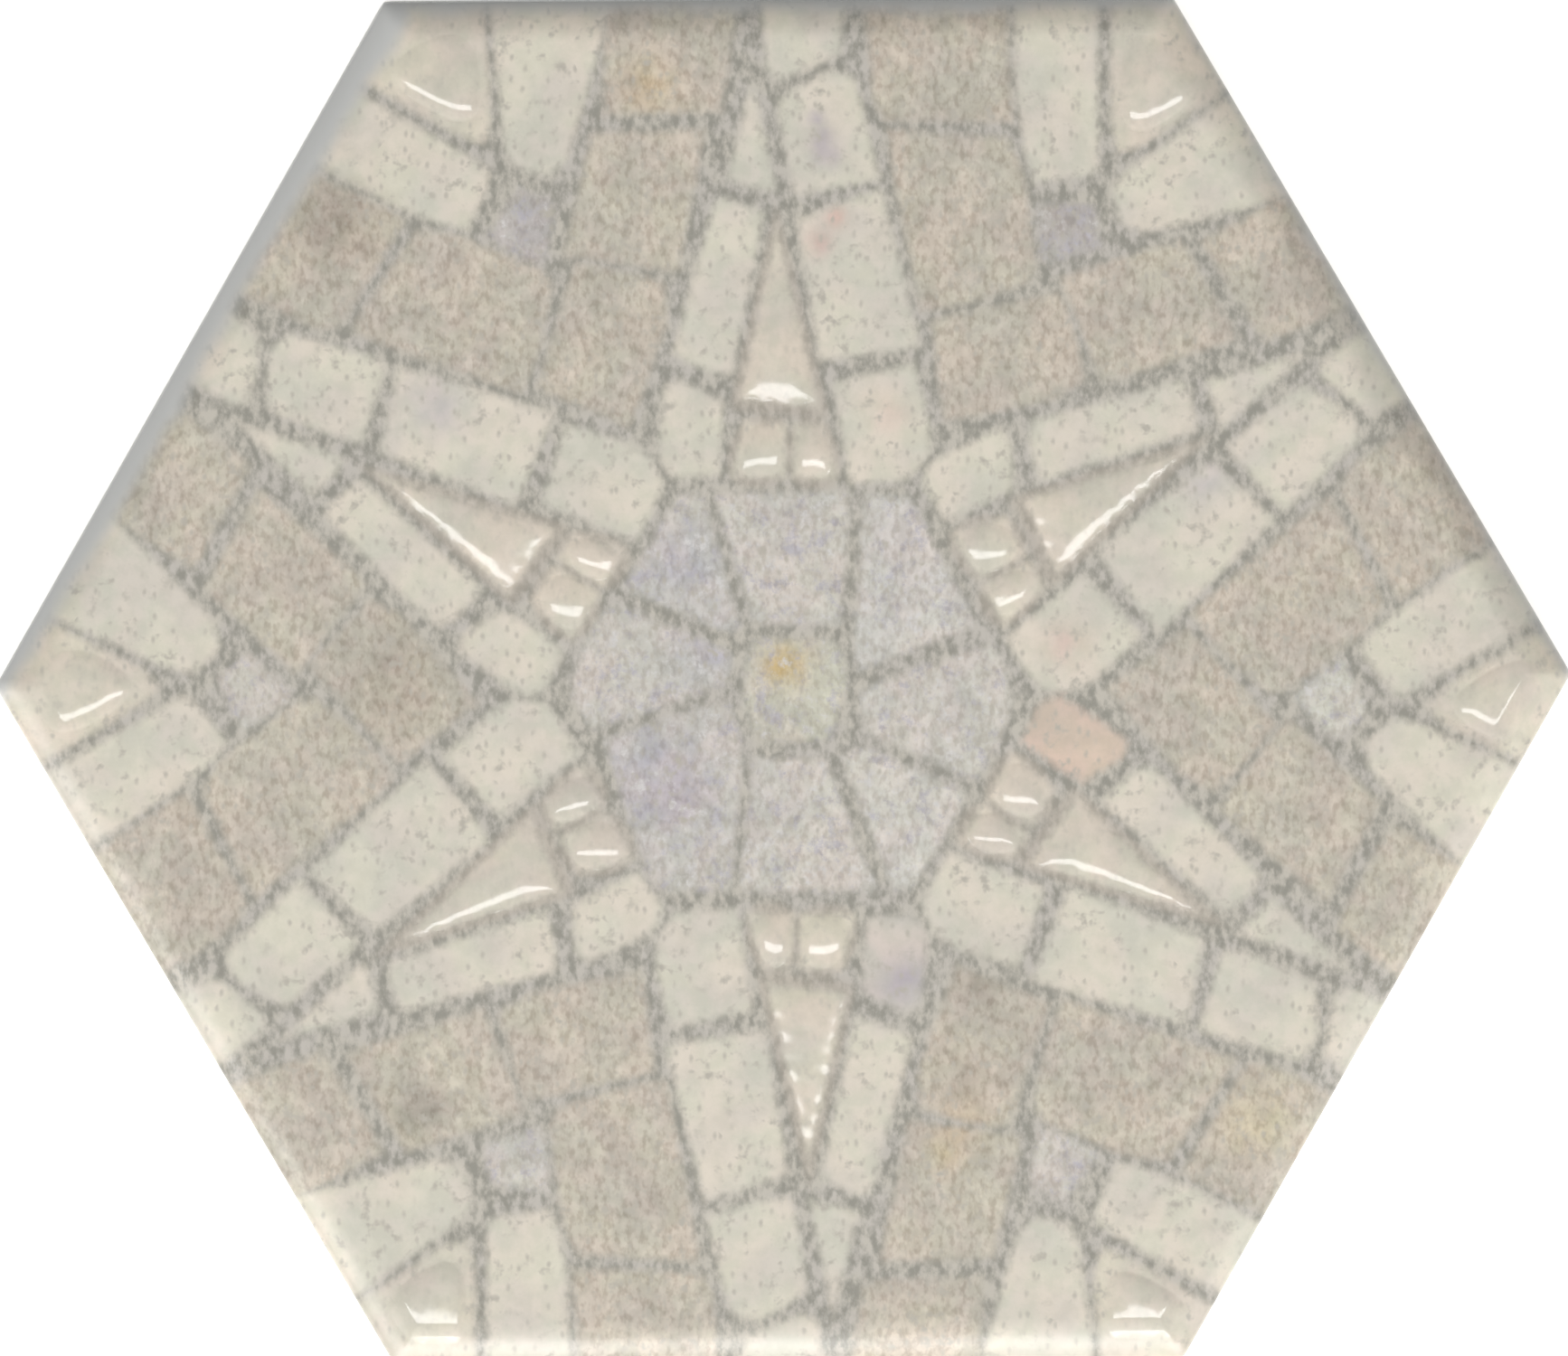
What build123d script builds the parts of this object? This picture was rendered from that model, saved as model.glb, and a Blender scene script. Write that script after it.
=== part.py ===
import os
from math import cos, floor, radians, sin, sqrt

from build123d import *

# Glazed hexagonal tile, lying on its back with the glazed face up.
# The corners point along X and two of the flats face along Y. Millimetres.

# Body
across_flats = 200.0
thickness = 8.5  # back to the flat of the glazed face
corner_radius = 1.0  # upright edges at the six corners

# Cushioned rim of the glazed face, a wide arc in section that ends in a rounded edge
rim_radius = 10.0
rim_slope = 35.0  # degrees, where the arc meets the rounded edge
edge_radius = 1.2

# Keyed back, with grooves that run along X inside a plain border
back_bevel = 0.6
key_depth = 0.7
key_groove = 8.5
key_rib = 4.5
key_border = 9.0

# Raised glaze drops, which follow six arms about the middle of the decoration
decor_shift_x = 1.4
decor_shift_y = -2.4
decor_turn = -0.5
drop_height = 0.3
drop_shoulder = 0.2  # rounding of a drop's upper edge
drop_corner = 1.0  # rounding of a drop's outline
drop_margin = 3.0  # from the tile's edge to the nearest drop

# Outlines of one arm's drops, as points from the middle, with the arm along +Y
dart = [(-2.4, 68.0), (-7.9, 43.6), (3.9, 42.3)]
left_bead = [(-7.2, 40.2), (-1.0, 39.9), (-1.0, 32.0), (-9.1, 32.0)]
right_bead = [(0.3, 39.8), (4.7, 39.8), (6.5, 31.9), (-0.2, 31.9)]
arm_drops = [dart, left_bead, right_bead]

# Outline of a corner's drop, as points from the corner, with +X outwards. It runs out past the tile,
# and the drops' margin trims it.
corner_drop = [(-22.6, -1.3), (-20.2, -3.9), (4.0, -15.6), (4.0, 15.1), (-19.4, 1.6)]

flats_half = across_flats / 2
across_corners = across_flats * 2 / sqrt(3)
slope_sine = sin(radians(rim_slope))
slope_cosine = cos(radians(rim_slope))
rim_reach = rim_radius * slope_sine + edge_radius * (1 - slope_sine)
rim_drop = rim_radius * (1 - slope_cosine) + edge_radius * slope_cosine
key_pitch = key_groove + key_rib
key_span = across_flats - 2 * key_border
key_count = floor((key_span + key_rib) / key_pitch)

with BuildPart() as tile:
    # Hexagonal blank
    with BuildSketch():
        RegularPolygon(flats_half, 6, major_radius=False)
        fillet(vertices(), corner_radius)
    extrude(amount=thickness)

    # Section between each pair of opposite flats, with the rim and the back's bevel
    for turn in (0, 60, 120):
        with BuildSketch(Plane.YZ.rotated((0, 0, turn))):
            with BuildLine():
                back = Line((0, 0), (flats_half - back_bevel, 0))
                bevel = Line(back @ 1, (flats_half, back_bevel))
                Line(bevel @ 1, (flats_half, thickness - rim_drop))
                rim = JernArc((flats_half - rim_reach, thickness), (1, 0), rim_radius, -rim_slope)
                JernArc(rim @ 1, rim % 1, edge_radius, rim_slope - 90)
                Line(rim @ 0, (0, thickness))
                mirror(about=Plane.YZ)
            make_face()
        extrude(amount=across_corners, both=True, mode=Mode.INTERSECT)

    # Drops, kept clear of the edge and rooted below the rim
    with BuildSketch(Plane.XY.offset(thickness - rim_drop)):
        with Locations(Location((decor_shift_x, decor_shift_y), decor_turn)):
            with PolarLocations(0, 6):
                for outline in arm_drops:
                    Polygon(*outline, align=None)
            with PolarLocations(across_corners / 2, 6):
                Polygon(*corner_drop, align=None)
        RegularPolygon(flats_half - drop_margin, 6, major_radius=False, mode=Mode.INTERSECT)
        fillet(vertices(), drop_corner)
    extrude(amount=rim_drop + drop_height)
    drop_tops = tile.faces().group_by(Axis.Z)[-1]
    fillet(drop_tops.edges(), drop_shoulder)

    # Grooves of the back
    with BuildSketch():
        with GridLocations(0, key_pitch, 1, key_count):
            Rectangle(across_corners, key_groove)
        RegularPolygon(key_span / 2, 6, major_radius=False, mode=Mode.INTERSECT)
    extrude(amount=key_depth, mode=Mode.SUBTRACT)

tile.part.label = "tile"
os.makedirs("parts", exist_ok=True)
export_step(tile.part, "parts/tile.step")
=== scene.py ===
from math import cos, pi, radians, sin, sqrt

import bpy
import numpy as np
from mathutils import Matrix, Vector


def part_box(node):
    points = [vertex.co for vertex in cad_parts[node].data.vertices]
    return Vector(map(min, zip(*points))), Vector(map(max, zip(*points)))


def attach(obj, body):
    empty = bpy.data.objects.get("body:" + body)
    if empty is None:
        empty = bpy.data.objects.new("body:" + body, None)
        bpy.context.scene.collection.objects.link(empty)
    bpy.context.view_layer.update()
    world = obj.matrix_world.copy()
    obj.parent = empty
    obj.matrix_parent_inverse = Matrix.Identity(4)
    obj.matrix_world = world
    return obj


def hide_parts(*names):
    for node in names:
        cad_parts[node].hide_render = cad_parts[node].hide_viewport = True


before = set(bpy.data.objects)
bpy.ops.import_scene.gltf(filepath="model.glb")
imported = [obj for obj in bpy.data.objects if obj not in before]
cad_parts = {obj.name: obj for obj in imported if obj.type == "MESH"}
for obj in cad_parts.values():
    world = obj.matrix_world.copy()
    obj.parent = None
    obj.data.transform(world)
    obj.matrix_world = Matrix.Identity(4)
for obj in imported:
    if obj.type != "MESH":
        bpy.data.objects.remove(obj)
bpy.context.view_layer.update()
tileLow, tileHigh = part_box("tile")
mm = 0.001
print("frame loaded, tile is", [round(side / mm, 2) for side in tileHigh - tileLow], "mm")

# Body of the tile, the same sizes as its solid
tileShape = {
    "dropHeight": 0.3 * mm,
    "rimRadius": 10.0 * mm,  # wide arc of the rim
    "rimSlope": radians(35),  # where it meets the rounded edge
    "edgeRadius": 1.2 * mm,
    "rimRings": 10,
    "edgeRings": 5,
    "cornerRound": 1.0 * mm,
    "backBevel": 0.6 * mm,
    "keyDepth": 0.7 * mm,
    "keyGroove": 8.5 * mm,
    "keyRib": 4.5 * mm,
    "keyBorder": 9.0 * mm,
    "faceCuts": (7, 12),  # the face's side is divided by 8, then by 13
    "dropCuts": 3,
    "smoothAngle": radians(40),
}
hair = 0.01 * mm  # slack for telling places apart


def rimPoint(bend):
    # where the rim slopes by bend: distance beyond the flat face and depth below it
    radius, edge, slope = tileShape["rimRadius"], tileShape["edgeRadius"], tileShape["rimSlope"]
    if bend <= slope:
        return radius * sin(bend), radius * (1 - cos(bend))
    reach = (radius - edge) * sin(slope) + edge * sin(bend)
    return reach, radius - (radius - edge) * cos(slope) - edge * cos(bend)


rimReach, rimDrop = rimPoint(pi / 2)
rimSection = np.array([rimPoint(bend) for bend in np.linspace(0, pi / 2, 181)])  # half degrees
flatsHalf = (tileHigh.y - tileLow.y) / 2
faceHeight = tileHigh.z - tileShape["dropHeight"]
rimFoot = faceHeight - rimDrop
flatEdge = flatsHalf - rimReach
cornerRatio = 2 / sqrt(3)  # corner distance over flat distance of a hexagon
flatNormals = np.array([(cos(radians(turn)), sin(radians(turn))) for turn in (30, 90, 150)])


def deselectAll():
    bpy.ops.object.select_all(action='DESELECT')


def addHexagon(name, toFlat, height, fill):
    deselectAll()
    bpy.ops.mesh.primitive_circle_add(
        vertices=6, radius=toFlat * cornerRatio, fill_type=fill,
        location=(0, 0, height), rotation=(0, 0, radians(30)))  # corners along X
    piece = bpy.context.object
    piece.name = name
    bpy.ops.object.transform_apply(location=True, rotation=True, scale=True)
    return piece


def selectOutline():
    bpy.ops.mesh.select_mode(type='EDGE')
    bpy.ops.mesh.select_all(action='DESELECT')
    bpy.ops.mesh.select_non_manifold()


def growRing(stretch, rise):
    bpy.ops.mesh.extrude_edges_move(TRANSFORM_OT_translate={"value": (0, 0, rise)})
    bpy.ops.transform.resize(value=(stretch, stretch, 1), center_override=(0, 0, 0))


def selectFaces(piece, chosen):
    bpy.ops.object.mode_set(mode='OBJECT')
    mesh = piece.data
    mesh.vertices.foreach_set("select", np.zeros(len(mesh.vertices), bool))
    mesh.edges.foreach_set("select", np.zeros(len(mesh.edges), bool))
    mesh.polygons.foreach_set("select", chosen)
    bpy.context.tool_settings.mesh_select_mode = (False, False, True)
    bpy.ops.object.mode_set(mode='EDIT')


def readPoints(piece):
    points = np.empty(len(piece.data.vertices) * 3)
    piece.data.vertices.foreach_get("co", points)
    return points.reshape(-1, 3)


def readCentres(piece):
    centres = np.empty(len(piece.data.polygons) * 3)
    piece.data.polygons.foreach_get("center", centres)
    return centres.reshape(-1, 3)


def flatDistance(points):
    return np.abs(points[:, :2] @ flatNormals.T).max(axis=1)


def makeBlank():
    # glazed face, then the rim, the side and the back's bevel ring by ring
    blank = addHexagon("glazedTile", flatEdge, faceHeight, 'TRIFAN')
    bpy.ops.object.mode_set(mode='EDIT')
    for cuts in tileShape["faceCuts"]:
        bpy.ops.mesh.select_all(action='SELECT')
        bpy.ops.mesh.subdivide(number_cuts=cuts)
    selectOutline()
    slope = tileShape["rimSlope"]
    bends = list(np.linspace(0, slope, tileShape["rimRings"] + 1)[1:])
    bends += list(np.linspace(slope, pi / 2, tileShape["edgeRings"] + 1)[1:])
    reach, depth = 0, 0
    for bend in bends:
        ringReach, ringDepth = rimPoint(bend)
        growRing((flatEdge + ringReach) / (flatEdge + reach), depth - ringDepth)
        reach, depth = ringReach, ringDepth
    growRing(1, tileShape["backBevel"] - rimFoot)
    growRing(1 - tileShape["backBevel"] / flatsHalf, -tileShape["backBevel"])
    bpy.ops.object.mode_set(mode='OBJECT')
    return blank


def makeKeyedBack():
    # plain sheet cut into strips, every second strip pushed in
    keyEdge = flatsHalf - tileShape["keyBorder"]
    pitch = tileShape["keyGroove"] + tileShape["keyRib"]
    count = int((2 * keyEdge + tileShape["keyRib"]) / pitch)
    grooves = [(row - (count - 1) / 2) * pitch for row in range(count)]
    back = addHexagon("keyedBack", keyEdge, 0, 'NGON')
    bpy.ops.object.mode_set(mode='EDIT')
    for middle in grooves:
        for side in (-1, 1):
            bpy.ops.mesh.select_all(action='SELECT')
            bpy.ops.mesh.bisect(
                plane_co=(0, middle + side * tileShape["keyGroove"] / 2, 0), plane_no=(0, 1, 0))
    bpy.ops.object.mode_set(mode='OBJECT')
    rows = readCentres(back)[:, 1]
    toGroove = np.abs(rows[:, None] - np.array(grooves)).min(axis=1)
    selectFaces(back, toGroove < tileShape["keyGroove"] / 2)
    pushIn = {"value": (0, 0, tileShape["keyDepth"])}
    bpy.ops.mesh.extrude_region_move(TRANSFORM_OT_translate=pushIn)
    bpy.ops.object.mode_set(mode='OBJECT')
    return back


def closeTile(blank, back):
    deselectAll()
    back.select_set(True)
    blank.select_set(True)
    bpy.context.view_layer.objects.active = blank
    bpy.ops.object.join()
    bpy.ops.object.mode_set(mode='EDIT')
    selectOutline()
    bpy.ops.mesh.fill(use_beauty=True)  # plain border of the back
    bpy.ops.mesh.select_all(action='SELECT')
    bpy.ops.mesh.normals_make_consistent(inside=False)
    bpy.ops.object.mode_set(mode='OBJECT')


# Place of the decoration on the face, in mm and degrees. It is shifted to the lower right, so the
# glaze stays plain beside some edges: each edge's heading, and how far from the tile's middle the
# print ends.
printPlace = {"right": 1.4, "up": -2.4, "turn": -0.5,
              "ends": {148.7: 96.7, 90: 98.1, 30: 99.6}}
arms = 6  # of the star, one in each sector

# Raised glaze drops in mm. An arm's outlines start from the middle, with the arm along +Y, and a
# corner's from the tile's corner, with +X outwards. Only part of a corner's stone is raised. A
# round drop is a low dome, the others have a shoulder: soft rounds their plan, ease makes a side
# gentler. A dart thins out along its length, from the base to the tip.
glazeDrops = {
    "dart": {"outline": [(-2.4, 68.0), (-7.9, 43.6), (3.9, 42.3)], "ease": (1.0, 0.6, 1.0),
             "round": False, "soft": 0.5, "height": 0.125, "shoulder": 2.6, "power": 2.0,
             "length": 25.0},
    "leftBead": {"outline": [(-7.2, 40.2), (-1.0, 39.9), (-1.0, 32.0), (-9.1, 32.0)], "round": True,
                 "height": 0.23, "shoulder": 3.2, "power": 2.1},
    "rightBead": {"outline": [(0.3, 39.8), (4.7, 39.8), (6.5, 31.9), (-0.2, 31.9)], "round": True,
                  "height": 0.22, "shoulder": 2.7, "power": 2.1},
    "corner": {"outline": [(-22.6, -1.3), (-20.2, -3.9), (12.0, -19.5), (12.0, 19.7), (-19.4, 1.6)],
               "raised": [(-22.6, -1.3), (-20.2, -3.9), (-8.9, -9.4), (-2.0, 0.0), (-8.1, 8.1),
                          (-19.4, 1.6)],
               "round": True, "height": 0.25, "shoulder": 5.0, "power": 3.0},
}
dartTaper = {"base": 1.5, "fall": 1.2, "tip": 0.35}  # a dart's size along its length
dropMargin = 3.0  # mm from the tile's edge to a drop
edgeEase = 0.7  # a drop runs out gently towards the tile's edge
edgeBlend = 0.4  # mm
fineReach = 0.7  # mm around a drop that get its finer faces
dropLumps = {"height": 0.008, "size": 3.0}  # uneven surface of the drops
dropScallops = {"depth": 0.4, "size": 3.0, "fade": 0.8}  # lumpy foot of the drops
farSide = 30.0  # mm from a side, past which the distance no longer counts
swellWaves = {"headings": (12, 67, 131, 158, 203, 291), "pace": 0.8, "quicken": 0.09, "shift": 1.7}


def toPrint(points):
    # tile metres to print millimetres
    turn = radians(-printPlace["turn"])
    x = points[:, 0] / mm - printPlace["right"]
    y = points[:, 1] / mm - printPlace["up"]
    return np.column_stack((x * cos(turn) - y * sin(turn), x * sin(turn) + y * cos(turn)))


def turned(points, degrees):
    turn = radians(degrees)
    return np.column_stack((
        points[:, 0] * cos(turn) - points[:, 1] * sin(turn),
        points[:, 0] * sin(turn) + points[:, 1] * cos(turn)))


def sideDistances(points, outline):
    # distance inwards from each side of a convex outline
    corners = np.array(outline)
    following = np.roll(corners, -1, axis=0)
    area = np.sum(corners[:, 0] * following[:, 1] - following[:, 0] * corners[:, 1])
    along = following - corners
    inwards = np.column_stack((-along[:, 1], along[:, 0])) * np.sign(area)
    inwards /= np.linalg.norm(inwards, axis=1)[:, None]
    return points @ inwards.T - np.sum(corners * inwards, axis=1)


def depthInside(distances, soft):
    # smallest distance, blended where two sides are near
    return -soft * np.log(np.exp(-np.clip(distances, -farSide, farSide) / soft).sum(axis=1))


def dropSides(points, plan):
    # every drop, its outline and the points' distances inwards from the sides of it, in mm
    printed = toPrint(points)
    cornerReach = flatsHalf / mm * cornerRatio
    for copy in range(arms):
        local = turned(printed, -360 / arms * copy)
        for name, drop in glazeDrops.items():
            start = (cornerReach, 0) if name == "corner" else (0, 0)
            outline = drop.get(plan, drop["outline"])
            yield drop, outline, sideDistances(local - np.array(start), outline)


def waves(points, size):
    # slow uneven swell, from -1 to 1, about one size from crest to crest
    swell = np.zeros(len(points))
    for step, heading in enumerate(swellWaves["headings"]):
        across = turned(points, heading)[:, 0] * 2 * pi / size
        pace = swellWaves["pace"] + swellWaves["quicken"] * step
        swell += np.sin(across * pace + swellWaves["shift"] * step)
    return swell / len(swellWaves["headings"])


def roundDepth(sides, outline, shoulder):
    # like depthInside, for the oval that touches the sides
    middle = sideDistances(np.mean(outline, axis=0)[None, :], outline)
    return shoulder * (1 - np.sqrt((np.maximum(1 - sides / middle, 0) ** 2).sum(axis=1)))


def raisedDepths(points):
    # how far inside each raised drop the points lie, clear of the tile's edge, and its local size
    edge = (flatsHalf / mm - dropMargin - flatDistance(points) / mm)[:, None] * edgeEase
    scallops = dropScallops["depth"] * waves(points[:, :2] / mm, dropScallops["size"])
    for drop, outline, sides in dropSides(points, "raised"):
        size = np.ones(len(points))
        if drop["round"]:
            dome = roundDepth(sides, outline, drop["shoulder"])
            depth = depthInside(np.column_stack((dome, edge)), edgeBlend)
        else:
            depth = depthInside(np.hstack((sides * drop["ease"], edge)), drop["soft"])
            depth += scallops * np.exp(-np.abs(depth) / dropScallops["fade"])
        if "length" in drop:
            taper = dartTaper["base"] - dartTaper["fall"] * sides[:, 1] / drop["length"]
            size = np.clip(taper, dartTaper["tip"], dartTaper["base"])
        yield drop, depth, size


def raiseDrops(tile):
    # finer faces where the drops are, then their rounded shoulders
    inside = np.full(len(tile.data.polygons), -np.inf)
    centres = readCentres(tile)
    for drop, depth, size in raisedDepths(centres):
        inside = np.maximum(inside, depth)
    selectFaces(tile, (inside > -fineReach) & (centres[:, 2] > rimFoot))
    bpy.ops.mesh.subdivide(number_cuts=tileShape["dropCuts"])
    bpy.ops.object.mode_set(mode='OBJECT')

    points = readPoints(tile)
    onFace = points[:, 2] > rimFoot - hair
    face = points[onFace]
    beyond = flatDistance(face) - flatEdge
    height = faceHeight - np.interp(beyond, rimSection[:, 0], rimSection[:, 1])
    uneven = dropLumps["height"] * waves(face[:, :2] / mm, dropLumps["size"])
    for drop, depth, size in raisedDepths(face):
        climb = np.clip(depth / (drop["shoulder"] * size), 0, 1)
        height += (drop["height"] * size * (1 - (1 - climb) ** drop["power"]) + uneven * climb) * mm
    points[onFace, 2] = height

    # corners of the outline, rounded
    outer = np.clip((flatDistance(points) - flatEdge) / rimReach, 0, 1)
    radius = np.hypot(points[:, 0], points[:, 1])
    atCorner = radius > flatDistance(points) * cornerRatio - hair
    cut = tileShape["cornerRound"] * (cornerRatio - 1) * outer ** 2 * atCorner
    points[:, :2] *= (1 - cut / np.maximum(radius, mm))[:, None]
    tile.data.vertices.foreach_set("co", points.ravel())
    tile.data.update()


tile = makeBlank()
print("face, rim and side made")
closeTile(tile, makeKeyedBack())
print("keyed back closed")
raiseDrops(tile)
print("drops raised, faces:", len(tile.data.polygons))


# Printed stones, in mm from the middle of the decoration. A sector has its arm along +Y, and its
# stones are repeated in every sector.
creamStones = {
    "tip": [(-3.8, 91.9), (-5.1, 110.0), (7.4, 110.0), (6.9, 94.4), (5.3, 93.2), (-2.0, 90.5)],
    "rightHigh": [(-2.1, 87.2), (5.0, 91.6), (8.9, 90.7), (12.6, 76.0), (0.6, 73.4), (-0.2, 75.0)],
    "leftTip": [(-6.0, 90.0), (-2.6, 74.0), (-9.5, 75.6)],
    "rightMid": [(0.8, 70.0), (12.8, 74.0), (18.6, 51.2), (4.0, 49.2)],
    "leftMid": [(-17.4, 50.4), (-11.4, 72.3), (-10.2, 73.0), (-4.3, 70.7), (-9.2, 47.2),
                (-14.6, 48.5)],
    "rightLow": [(6.0, 45.8), (17.7, 48.6), (20.0, 39.8), (19.8, 35.2), (17.0, 31.8), (8.3, 31.2)],
    "leftLow": [(-18.8, 45.6), (-16.5, 46.3), (-10.3, 43.1), (-10.9, 32.4), (-17.3, 32.0),
                (-19.6, 34.0)],
    "cornerLeft": [(32.7, 110.0), (44.6, 110.0), (44.6, 77.2), (42.9, 76.2), (35.4, 75.4),
                   (34.2, 78.5), (32.7, 90.0)],
    "cornerRight": [(46.8, 74.4), (49.0, 76.9), (68.2, 91.1), (84.0, 84.0), (80.0, 75.1),
                    (51.5, 68.0), (48.0, 69.4)],
}
taupeStones = {
    "rightTop": [(10.0, 110.0), (30.2, 110.0), (32.2, 84.2), (13.6, 84.6), (11.9, 87.3)],
    "rightMid": [(13.8, 82.9), (31.4, 81.6), (33.7, 77.0), (35.5, 63.0), (34.4, 60.6), (25.2, 57.4),
                 (18.6, 56.6)],
    "rightLow": [(20.4, 55.0), (39.0, 59.1), (40.4, 56.0), (42.9, 46.5), (38.3, 43.6),
                 (22.2, 40.5)],
    "leftTop": [(-27.2, 110.0), (-8.0, 110.0), (-8.9, 95.7), (-10.6, 85.8), (-27.7, 85.3)],
    "leftMid": [(-29.4, 82.3), (-12.7, 82.8), (-13.5, 79.0), (-16.6, 62.3), (-33.4, 64.6)],
}
heartStones = {
    "cornerHeart": [(35.8, 72.4), (44.2, 71.6), (45.0, 66.0), (41.0, 64.4), (37.2, 63.4),
                    (36.0, 65.0)],
}
# The rosette in the middle isn't repeated
petalStones = {
    "upperLeft": [(-16.4, 29.6), (-13.2, 29.6), (-8.0, 10.6), (-9.2, 9.4), (-24.8, 15.8)],
    "top": [(-11.3, 29.6), (8.4, 29.6), (6.7, 10.6), (-5.5, 10.6)],
    "upperRight": [(10.5, 29.4), (16.8, 29.2), (26.8, 10.6), (9.4, 3.8), (9.0, 8.0)],
    "right": [(9.8, 0.8), (29.0, 7.6), (31.2, 4.0), (32.0, -1.5), (30.4, -6.2), (26.8, -12.0),
              (10.6, -5.4)],
    "lowerRight": [(7.2, -8.8), (10.2, -7.6), (25.2, -14.2), (23.0, -19.4), (17.4, -28.0),
                   (14.8, -28.2)],
    "bottom": [(-5.8, -9.2), (4.6, -9.2), (12.1, -28.4), (-7.6, -28.4)],
    "lowerLeft": [(-27.6, -6.6), (-10.4, -0.6), (-8.8, -2.2), (-7.4, -8.0), (-9.2, -28.4),
                  (-20.4, -28.2)],
    "left": [(-25.4, 13.2), (-9.4, 6.4), (-8.8, 4.0), (-10.2, 1.8), (-29.4, -4.8), (-32.6, 0.4),
             (-31.6, 4.6), (-28.4, 11.6)],
    "heart": [(-5.4, 8.2), (5.6, 8.2), (7.4, 6.0), (7.8, 0.8), (5.2, -6.2), (-4.6, -6.6),
              (-6.6, -3.0), (-7.2, 1.4), (-6.8, 5.5)],
}

# Tints as screen colours from 0 to 255. Some copies of a stone have their own.
stoneTints = {
    "cream": (215, 209, 195),
    "taupe": (199, 191, 177),
    "heart": (203, 198, 190),
    "petal": (205, 200, 192),
    "drop": (215, 207, 192),
    "copies": {
        ("leftLow", 3): (207, 199, 190),
        ("leftLow", 4): (214, 194, 178),
        ("cornerHeart", 0): (186, 181, 176),
        ("cornerHeart", 1): (190, 185, 181),
        ("cornerHeart", 2): (203, 198, 190),
        ("cornerHeart", 5): (204, 201, 192),
        ("heart", 0): (205, 201, 186),
        ("upperRight", 0): (210, 205, 198),
        ("lowerRight", 0): (212, 207, 199),
    },
}
# Soft patches of another tint: place in mm, radius, tint and strength
tintPatches = {
    "ochreHeart": ((-1.3, 4.5), 2.9, (205, 178, 128), 1.15),
    "rosyRight": ((40.1, 7.9), 3.4, (217, 196, 183), 0.9),
    "rosyTopLow": ((14.3, 41.7), 3.4, (217, 199, 187), 0.8),
    "rosyTopHigh": ((6.2, 70.3), 1.7, (220, 194, 180), 1.1),
    "rosyTopMid": ((3.6, 66.4), 2.0, (211, 188, 177), 1.1),
    "violetTopHigh": ((3.4, 84.8), 1.1, (182, 175, 180), 0.8),
    "violetTopMid": ((4.3, 81.8), 1.5, (178, 170, 178), 0.9),
    "violetTopLow": ((5.1, 78.9), 2.0, (180, 172, 178), 0.9),
    "violetBottom": ((16.3, -41.7), 3.0, (186, 176, 182), 1.1),
    "violetRight": ((61.3, 32.4), 3.5, (196, 188, 190), 0.8),
    "violetLeft": ((-52.6, 42.4), 4.5, (194, 187, 190), 0.7),
    "ochreTop": ((-21.4, 89.4), 4.0, (206, 184, 148), 0.7),
    "ochreBottomHigh": ((24.9, -62.3), 4.0, (204, 184, 148), 0.5),
    "ochreBottomLow": ((22.3, -66.9), 3.0, (206, 186, 148), 0.5),
    "yellowLowerRight": ((68.0, -62.3), 5.0, (210, 200, 162), 0.6),
    "brownUpperLeft": ((-66.8, 69.6), 6.0, (160, 148, 134), 0.8),
    "brownLeft": ((-59.0, 2.4), 7.5, (172, 162, 149), 0.75),
    "brownBottomHigh": ((27.6, -42.4), 4.5, (172, 162, 150), 0.8),
    "brownBottomLow": ((25.6, -55.0), 4.5, (180, 168, 154), 0.6),
    "brownLowerLeft": ((-55.6, -61.2), 3.4, (154, 150, 136), 0.9),
    "violetPetalLow": ((-19.5, -10.6), 8.0, (182, 178, 188), 0.7),
    "violetPetalFoot": ((-16.8, -15.0), 5.0, (176, 171, 178), 0.9),
    "violetPetalHigh": ((-14.8, 19.2), 6.0, (184, 181, 190), 0.7),
    "violetPetalEnd": ((-12.8, 6.6), 5.0, (186, 183, 190), 0.6),
}
patchBreak = {"mean": 0.85, "swing": 0.6, "size": 4.0, "least": 0.4}  # uneven strength of a patch
stoneGrain = {"cream": 0.0, "taupe": 1.0, "heart": 0.8, "petal": 0.8, "drop": 0.12}
mottled = ("heart", "petal")  # stones with violet clouds
jointReach = 2.5  # mm around a stone that the other stones of its layer keep clear of
cornerSoft = 0.25  # rounding of the stones' corners
farOff = 9.0  # mm, more than anything that the print looks for


def screenColour(tint):
    # screen colour to the linear colour that a shader takes
    part = np.array(tint, float) / 255
    return np.where(part <= 0.04045, part / 12.92, ((part + 0.055) / 1.055) ** 2.4)


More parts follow.
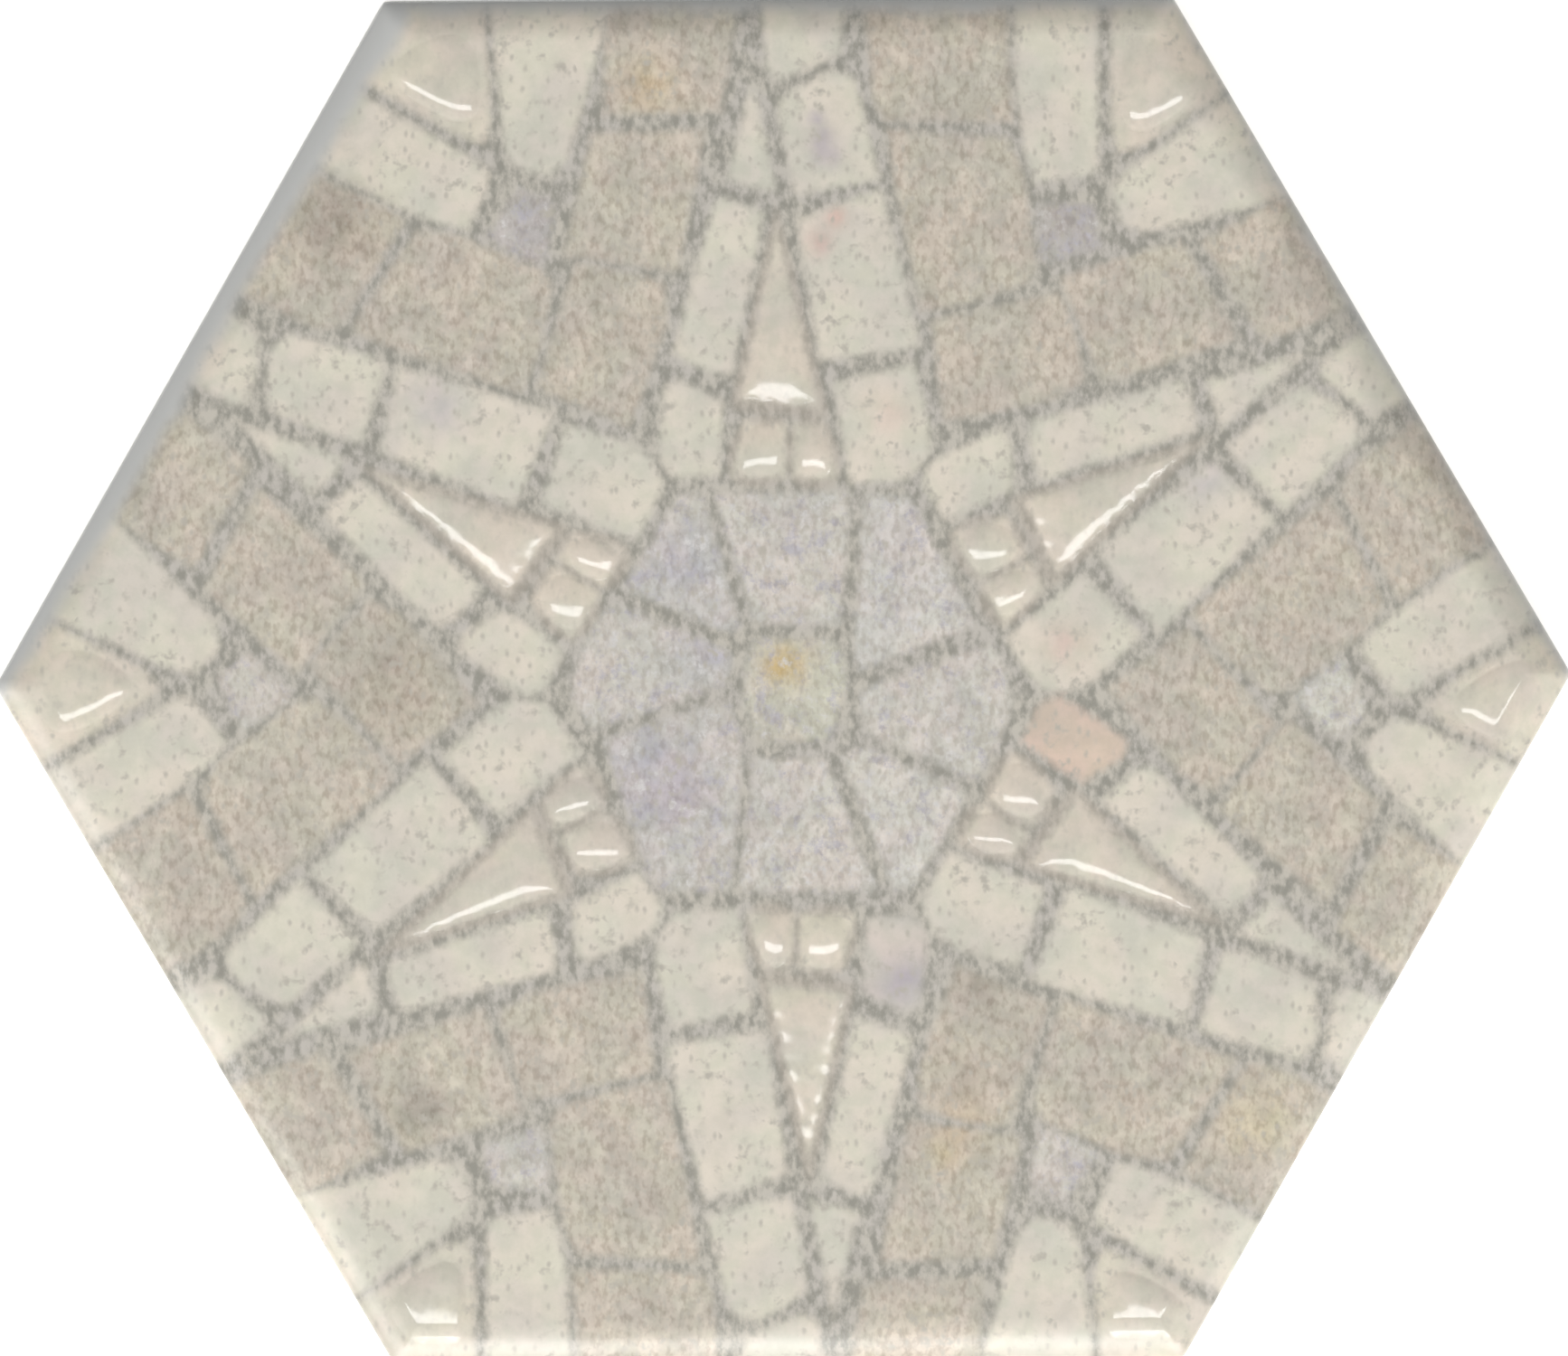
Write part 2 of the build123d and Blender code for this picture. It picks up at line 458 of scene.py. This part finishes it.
def printStones(tile):
    points = readPoints(tile)
    printed = toPrint(points)
    gap = np.full(len(points), -farOff)
    tint = np.tile(screenColour(stoneTints["taupe"]), (len(points), 1))
    grain = np.zeros(len(points))
    violet = np.zeros(len(points))
    lift = np.full(len(points), -farOff)
    layers = []  # stones that lie well apart share a layer, so the joints come out straight
    sectors = [turned(printed, -360 / arms * copy) for copy in range(arms)]

    def lay(depth, kind, shade):
        near = depth > -jointReach
        layer = next((field for field in layers if not (near & (field > -jointReach)).any()), None)
        if layer is None:
            layer = np.full(len(points), -farOff)
            layers.append(layer)
        np.maximum(layer, depth, out=layer)
        nearest = depth > gap
        gap[nearest] = depth[nearest]
        tint[nearest] = screenColour(shade)
        grain[nearest] = stoneGrain[kind]
        violet[nearest] = kind in mottled

    kinds = [("cream", creamStones, arms), ("taupe", taupeStones, arms),
             ("heart", heartStones, arms), ("petal", petalStones, 1)]
    for kind, stones, copies in kinds:
        for name, outline in stones.items():
            for copy in range(copies):
                shade = stoneTints["copies"].get((name, copy), stoneTints[kind])
                lay(depthInside(sideDistances(sectors[copy], outline), cornerSoft), kind, shade)
    for drop, outline, sides in dropSides(points, "outline"):
        lay(depthInside(sides, cornerSoft), "drop", stoneTints["drop"])
    for drop, depth, size in raisedDepths(points):
        np.maximum(lift, depth, out=lift)
    for place, radius, shade, strength in tintPatches.values():
        near = strength * np.exp(-((printed - place) ** 2).sum(axis=1) / radius ** 2)
        uneven = patchBreak["mean"] + patchBreak["swing"] * waves(printed, patchBreak["size"])
        near *= np.clip(uneven, patchBreak["least"], 1)
        tint += (screenColour(shade) - tint) * np.minimum(near, 1)[:, None]

    margin = np.full(len(points), farOff)
    for heading, end in printPlace["ends"].items():
        outwards = (cos(radians(heading)), sin(radians(heading)))
        np.minimum(margin, end - points[:, :2] @ outwards / mm, out=margin)

    def keep(name, values):
        tile.data.attributes.new(name, 'FLOAT', 'POINT').data.foreach_set("value", values)

    keep("printMargin", margin)
    keep("rimBeyond", (flatDistance(points) - flatEdge) / mm)
    for step, layer in enumerate(layers):
        keep("stoneGap%d" % step, layer)
    keep("stoneGrain", grain)
    keep("stoneViolet", violet)
    keep("dropDepth", lift)
    colours = np.column_stack((tint, np.ones(len(points)))).ravel()
    tile.data.attributes.new("stoneTint", 'FLOAT_COLOR', 'POINT').data.foreach_set("color", colours)
    return len(layers)


layerCount = printStones(tile)
print("stones printed in", layerCount, "layers")


def newMaterial(name):
    material = bpy.data.materials.new(name)
    material.use_nodes = True
    return material, material.node_tree, material.node_tree.nodes["Principled BSDF"]


def addNode(tree, kind, inputs, **settings):
    node = tree.nodes.new(kind)
    for name, value in settings.items():
        setattr(node, name, value)
    for name, value in inputs.items():
        if isinstance(value, bpy.types.NodeSocket):
            tree.links.new(value, node.inputs[name])
        else:
            node.inputs[name].default_value = value
    return node


def addNoise(tree, place, noise):
    node = addNode(tree, 'ShaderNodeTexNoise', {
        "Vector": place, "Scale": noise["scale"], "Detail": noise.get("detail", 2.0),
        "Roughness": noise.get("rough", 0.5)})
    return node.outputs["Fac"]


def addMath(tree, operation, first, second):
    return addNode(tree, 'ShaderNodeMath', {0: first, 1: second}, operation=operation).outputs[0]


def addRange(tree, value, low, high, toLow=0.0, toHigh=1.0):
    # smooth step from low to high, in either direction
    step = addNode(tree, 'ShaderNodeMapRange', {
        "Value": value, "From Min": low, "From Max": high, "To Min": toLow, "To Max": toHigh},
        interpolation_type='SMOOTHSTEP')
    return step.outputs["Result"]


def addPattern(tree, place, pattern):
    # patches that come in between two values of the noise
    noise = addNoise(tree, place, pattern)
    return addRange(tree, noise, pattern["low"], pattern["high"], 0.0, pattern.get("most", 1.0))


def addSway(tree, place, sway):
    # noise about zero, which moves an edge to and fro
    middle = addMath(tree, 'SUBTRACT', addNoise(tree, place, sway), 0.5)
    return addMath(tree, 'MULTIPLY', middle, sway["reach"])


def addMix(tree, factor, first, second, blend='MIX'):
    # 6, 7 and 2 are the node's sockets for colours
    mix = addNode(tree, 'ShaderNodeMix', {0: factor, 6: first, 7: second},
                  data_type='RGBA', blend_type=blend)
    return mix.outputs[2]


def rgba(tint):
    return (*screenColour(tint), 1.0)


# Tints are screen colours, and matt, satin and gloss are roughness from 0 to 1
glazeFinish = {
    "plain": (203, 203, 200),  # unprinted glaze
    "jointGrey": (195, 189, 177),
    "jointViolet": (193, 187, 178),
    "jointDark": (150, 147, 137),
    # painted shade at the foot of the drops, browner than the joints
    "dropFootShade": (182, 170, 156),
    "footShadeAmount": 0.45,
    "dotGrey": (184, 178, 166),
    "violet": (182, 178, 185),
    "paleViolet": (212, 209, 206),
    "matt": 0.42,  # face
    "satin": 0.31,  # rim
    "gloss": 0.07,  # coat of the drops
    "ior": 1.5,
    "bump": 0.08,
    "bumpDepth": 0.05 * mm,
}
# Patterns of the print: noise scale per metre, where higher is finer, and the values of the noise
# between which they come in
printPatterns = {
    "slow": {"scale": 100, "low": 0.35, "high": 0.65},
    "blush": {"scale": 190, "detail": 3, "low": 0.35, "high": 0.65},
    "mist": {"scale": 380, "detail": 4, "rough": 0.65, "low": 0.33, "high": 0.67},
    "bruise": {"scale": 230, "detail": 5, "rough": 0.75, "low": 0.5, "high": 0.66, "most": 0.8},
    "bloom": {"scale": 230, "detail": 5, "rough": 0.75, "low": 0.47, "high": 0.32, "most": 0.9},
    "streak": {"scale": 950, "rough": 0.55, "low": 0.42, "high": 0.7},
    "pale": {"scale": 600, "low": 0.42, "high": 0.7},
    "swirl": {"scale": 330, "detail": 3, "rough": 0.6, "low": 0.36, "high": 0.64},
    "dot": {"scale": 560, "rough": 0.55, "low": 0.53, "high": 0.76},
    "flock": {"scale": 160, "low": 0.34, "high": 0.58},
    "hue": {"scale": 120, "low": 0.42, "high": 0.58},
    "dash": {"scale": 690, "detail": 3, "rough": 0.6, "low": 0.35, "high": 0.66},
    "ripple": {"scale": 420},
}
# Noise that moves edges: its reach in mm, or in cells for the dots
edgeSway = {
    "dot": {"scale": 1500, "reach": 0.25},
    "wobble": {"scale": 240, "reach": 0.6},
    "fray": {"scale": 800, "detail": 3, "rough": 0.6, "reach": 1.1},
    "drift": {"scale": 60, "reach": 3.0},
    "curl": {"scale": 520, "reach": 2.4},
}
# Where each part of the print starts and is full: mm inside a stone, a drop or the print's end, mm
# beyond the flat face for the rim, and a cell's distance and colour for the dots
printSteps = {
    "joint": (0.95, -1.1),
    # the two foot steps mark the ring at a drop's foot that takes the painted shade
    "outerFoot": (-1.8, -0.4),
    "innerFoot": (0.7, -0.1),
    "printEnd": (1.6, -1.7),
    "rimShine": (0.5, 3.0),
    "coat": (0.0, 0.8),
    "fewerDots": (-0.5, 0.5, 1.0, 0.4),  # full dots beside a drop, fewer on it
    "dotSize": (0.3, 0.0),
    "dotChoice": (0.4, 0.72, 0.0, 0.8),
}
# Tones that the stones are multiplied by: a pair runs from the pattern's low to its high
stoneTones = {
    "slow": ((0.935, 0.942, 0.955, 1), (1.05, 1.038, 1.02, 1)),
    "blush": ((0.98, 1.005, 0.98, 1), (1.02, 0.99, 0.995, 1)),
    "mist": ((0.955, 0.955, 0.95, 1), (1.035, 1.035, 1.035, 1)),
    "swirl": ((0.93, 0.925, 0.92, 1), (1.06, 1.06, 1.06, 1)),
    "streak": (0.77, 0.745, 0.725, 1),
    "pale": (1.09, 1.09, 1.09, 1),
}
streakLay = {"turn": 0.3, "stretch": (1.0, 0.6, 1.0)}


def makeGlaze():
    material, tree, shader = newMaterial("glazedPrint")
    place = addNode(tree, 'ShaderNodeTexCoord', {}).outputs["Object"]
    stretching = addNode(tree, 'ShaderNodeMapping', {
        "Vector": place, "Rotation": (0, 0, streakLay["turn"]), "Scale": streakLay["stretch"]})
    stretched = stretching.outputs[0]

    def attribute(name, output="Fac"):
        return addNode(tree, 'ShaderNodeAttribute', {}, attribute_name=name).outputs[output]

    def pattern(name, where=place):
        return addPattern(tree, where, printPatterns[name])

    def sway(name):
        return addSway(tree, place, edgeSway[name])

    def step(name, value):
        return addRange(tree, value, *printSteps[name])

    def times(first, second):
        return addMath(tree, 'MULTIPLY', first, second)

    def plus(first, second):
        return addMath(tree, 'ADD', first, second)

    def tinted(colour, amount, finish):
        return addMix(tree, amount, colour, rgba(glazeFinish[finish]))

    def toned(stone, amount, name, value):
        tone = addMix(tree, value, *stoneTones[name])
        return addMix(tree, amount, stone, tone, 'MULTIPLY')

    grain, violet, depth = attribute("stoneGrain"), attribute("stoneViolet"), attribute("dropDepth")
    gap = attribute("stoneGap0")
    for layer in range(1, layerCount):
        gap = addMath(tree, 'MAXIMUM', gap, attribute("stoneGap%d" % layer))

    # slow change of tone and hue over the stones, and finer clouds
    stone = attribute("stoneTint", "Color")
    for name in ("slow", "blush", "mist"):
        stone = toned(stone, 1.0, name, pattern(name))

    # violet and pale mottling of the petals and hearts
    stone = tinted(stone, times(pattern("bruise"), violet), "violet")
    stone = tinted(stone, times(pattern("bloom"), violet), "paleViolet")

    # dense short streaks, mostly on the taupe stones and the petals
    stone = toned(stone, grain, "swirl", pattern("swirl", stretched))
    for name, where in (("streak", stretched), ("pale", place)):
        amount = times(pattern(name, where), grain)
        stone = addMix(tree, amount, stone, stoneTones[name], 'MULTIPLY')

    # dots, round ones and frayed ones
    cells = addNode(tree, 'ShaderNodeTexVoronoi', {
        "Vector": stretched, "Scale": printPatterns["dot"]["scale"]}, voronoi_dimensions='2D')
    roundDots = times(step("dotSize", plus(cells.outputs["Distance"], sway("dot"))),
                      step("dotChoice", cells.outputs["Color"]))
    frayedDots = times(pattern("dot"), pattern("flock"))
    dots = times(addMath(tree, 'MAXIMUM', roundDots, frayedDots), step("fewerDots", depth))
    stone = tinted(stone, dots, "dotGrey")

    # joints with soft edges and dark dashes
    wobble = sway("wobble")
    joint = step("joint", plus(gap, plus(wobble, sway("fray"))))
    jointTone = tinted(rgba(glazeFinish["jointGrey"]), pattern("hue"), "jointViolet")
    jointTone = tinted(jointTone, pattern("dash", stretched), "jointDark")
    colour = addMix(tree, joint, stone, jointTone)

    # painted shade: the joints beside a drop are tinted browner and darker, as shade at the drop's
    # foot
    foot = times(step("outerFoot", depth), step("innerFoot", depth))
    colour = tinted(colour, times(times(foot, joint), glazeFinish["footShadeAmount"]), "dropFootShade")

    # the print fades out to plain glaze
    edge = plus(plus(attribute("printMargin"), sway("drift")), wobble)
    colour = tinted(colour, step("printEnd", edge), "plain")
    tree.links.new(colour, shader.inputs["Base Color"])

    # matt face, shinier towards the rim's edge, and a glossy coat with a curled foot on the drops
    rough = addRange(tree, attribute("rimBeyond"), *printSteps["rimShine"],
                     glazeFinish["matt"], glazeFinish["satin"])
    tree.links.new(rough, shader.inputs["Roughness"])
    tree.links.new(step("coat", plus(depth, sway("curl"))), shader.inputs["Coat Weight"])
    shader.inputs["Coat Roughness"].default_value = glazeFinish["gloss"]
    shader.inputs["Coat IOR"].default_value = glazeFinish["ior"]
    shader.inputs["IOR"].default_value = glazeFinish["ior"]

    # fine unevenness of the fired glaze
    bump = addNode(tree, 'ShaderNodeBump', {
        "Strength": glazeFinish["bump"], "Distance": glazeFinish["bumpDepth"],
        "Height": addNoise(tree, place, printPatterns["ripple"])})
    tree.links.new(bump.outputs[0], shader.inputs["Normal"])
    return material


bodyFinish = {
    "clay": (206, 196, 178),
    "clayDark": (186, 174, 154),
    "sandGrain": (0.33, 0.28, 0.22, 1),
    "kilnWash": (226, 221, 210),
    "washTop": (0.3 * mm, 0.05 * mm),  # the wash is gone above the first, full below the second
    "glazeLip": (190, 188, 180),
    "lipHeight": 4.6 * mm,
    "lipBlend": 0.5 * mm,
    "lipRun": 1.4 * mm,
    "bareRough": 0.85,
    "lipRough": 0.35,
    "toothBump": 0.5,
    "toothDepth": 0.1 * mm,
}
bodyPatterns = {
    "mottle": {"scale": 180, "detail": 4, "rough": 0.6, "low": 0.35, "high": 0.7},
    "sand": {"scale": 2200, "low": 0.55, "high": 0.7, "most": 0.5},
    "wash": {"scale": 70, "detail": 5, "rough": 0.65, "low": 0.45, "high": 0.6},
    "run": {"scale": 130, "detail": 3},
    "tooth": {"scale": 1500, "detail": 3},
}


def makeBareBody():
    material, tree, shader = newMaterial("bareBody")
    place = addNode(tree, 'ShaderNodeTexCoord', {}).outputs["Object"]
    height = addNode(tree, 'ShaderNodeSeparateXYZ', {"Vector": place}).outputs["Z"]
    colour = addMix(tree, addPattern(tree, place, bodyPatterns["mottle"]),
                    rgba(bodyFinish["clay"]), rgba(bodyFinish["clayDark"]))
    sand = addPattern(tree, place, bodyPatterns["sand"])
    colour = addMix(tree, sand, colour, bodyFinish["sandGrain"])

    # worn kiln wash on the ribs of the back
    wash = addMath(tree, 'MULTIPLY', addRange(tree, height, *bodyFinish["washTop"]),
                   addPattern(tree, place, bodyPatterns["wash"]))
    colour = addMix(tree, wash, colour, rgba(bodyFinish["kilnWash"]))

    # glaze that ran over the upper part of the side
    run = addNoise(tree, place, bodyPatterns["run"])
    run = addMath(tree, 'MULTIPLY', run, bodyFinish["lipRun"])
    lipStart = bodyFinish["lipHeight"]
    lipFull = lipStart + bodyFinish["lipBlend"]
    lip = addRange(tree, addMath(tree, 'ADD', height, run), lipStart, lipFull)
    colour = addMix(tree, lip, colour, rgba(bodyFinish["glazeLip"]))
    tree.links.new(colour, shader.inputs["Base Color"])
    rough = addRange(tree, lip, 0.0, 1.0, bodyFinish["bareRough"], bodyFinish["lipRough"])
    tree.links.new(rough, shader.inputs["Roughness"])
    tooth = addNode(tree, 'ShaderNodeBump', {
        "Strength": bodyFinish["toothBump"], "Distance": bodyFinish["toothDepth"],
        "Height": addNoise(tree, place, bodyPatterns["tooth"])})
    tree.links.new(tooth.outputs[0], shader.inputs["Normal"])
    return material


def finishTile(tile):
    tile.data.materials.append(makeGlaze())
    tile.data.materials.append(makeBareBody())
    bare = readCentres(tile)[:, 2] < rimFoot - hair
    tile.data.polygons.foreach_set("material_index", bare.astype(np.int32))
    deselectAll()
    tile.select_set(True)
    bpy.context.view_layer.objects.active = tile
    bpy.ops.object.shade_smooth_by_angle(angle=tileShape["smoothAngle"])
    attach(tile, "root")
    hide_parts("tile")


finishTile(tile)
print("glaze and bare body finished")

studio = {
    "floorTint": (250, 250, 249),
    "floorSize": 4.0,
    "floorGap": 0.1 * mm,  # below the back, so that the two don't flicker
    "floorRough": 0.9,
    "floorGlow": 0.6,
    "world": (0.95, 0.975, 1.0),
    "worldStrength": 0.18,
    "strip": {"angle": 85.5, "side": 0, "distance": 12.0, "size": (3.8, 0.72), "power": 77.0,
              "lights": False},
    "key": {"angle": 45, "side": -4, "distance": 4.0, "size": (8.0, 1.7), "power": 289.0,
            "lights": True},
    "lens": 1200.0,
    "sensor": 36.0,
    "viewWidth": 229.7 * mm,  # what the picture takes in across, at the face
    "viewShift": (0.13 * mm, 0.26 * mm),
    "roll": -0.48,
}


def addFloor():
    deselectAll()
    bpy.ops.mesh.primitive_plane_add(size=studio["floorSize"], location=(0, 0, -studio["floorGap"]))
    floor = bpy.context.object
    floor.name = "studioFloor"
    material, tree, shader = newMaterial("paleFloor")
    shader.inputs["Base Color"].default_value = rgba(studio["floorTint"])
    shader.inputs["Roughness"].default_value = studio["floorRough"]
    shader.inputs["Emission Color"].default_value = (1, 1, 1, 1)
    shader.inputs["Emission Strength"].default_value = studio["floorGlow"]
    floor.data.materials.append(material)


def addSoftbox(name, box):
    # lamp on the -Y side, aimed at the middle of the tile
    rise = radians(box["angle"])
    swing = radians(box["side"])
    away = box["distance"] * cos(rise)
    bpy.ops.object.light_add(
        type='AREA', location=(away * sin(swing), -away * cos(swing), box["distance"] * sin(rise)),
        rotation=(pi / 2 - rise, 0, swing))
    lamp = bpy.context.object
    lamp.name = name
    lamp.data.shape = 'RECTANGLE'
    lamp.data.size, lamp.data.size_y = box["size"]
    lamp.data.energy = box["power"]
    lamp.visible_diffuse = box["lights"]  # the strip only makes highlights


def addCamera():
    reach = studio["viewWidth"] / 2 / (studio["sensor"] / 2 / studio["lens"])
    place = (*studio["viewShift"], faceHeight + reach)
    bpy.ops.object.camera_add(location=place, rotation=(0, 0, radians(studio["roll"])))
    camera = bpy.context.object
    camera.data.lens = studio["lens"]
    camera.data.sensor_width = studio["sensor"]
    bpy.context.scene.camera = camera


def addAir():
    world = bpy.data.worlds.new("studioAir")
    world.use_nodes = True
    background = world.node_tree.nodes["Background"]
    background.inputs["Color"].default_value = (*studio["world"], 1)
    background.inputs["Strength"].default_value = studio["worldStrength"]
    bpy.context.scene.world = world


addFloor()
addSoftbox("stripLamp", studio["strip"])
addSoftbox("keyLamp", studio["key"])
addAir()
addCamera()
bpy.context.scene.view_settings.view_transform = 'Standard'
print("studio set")
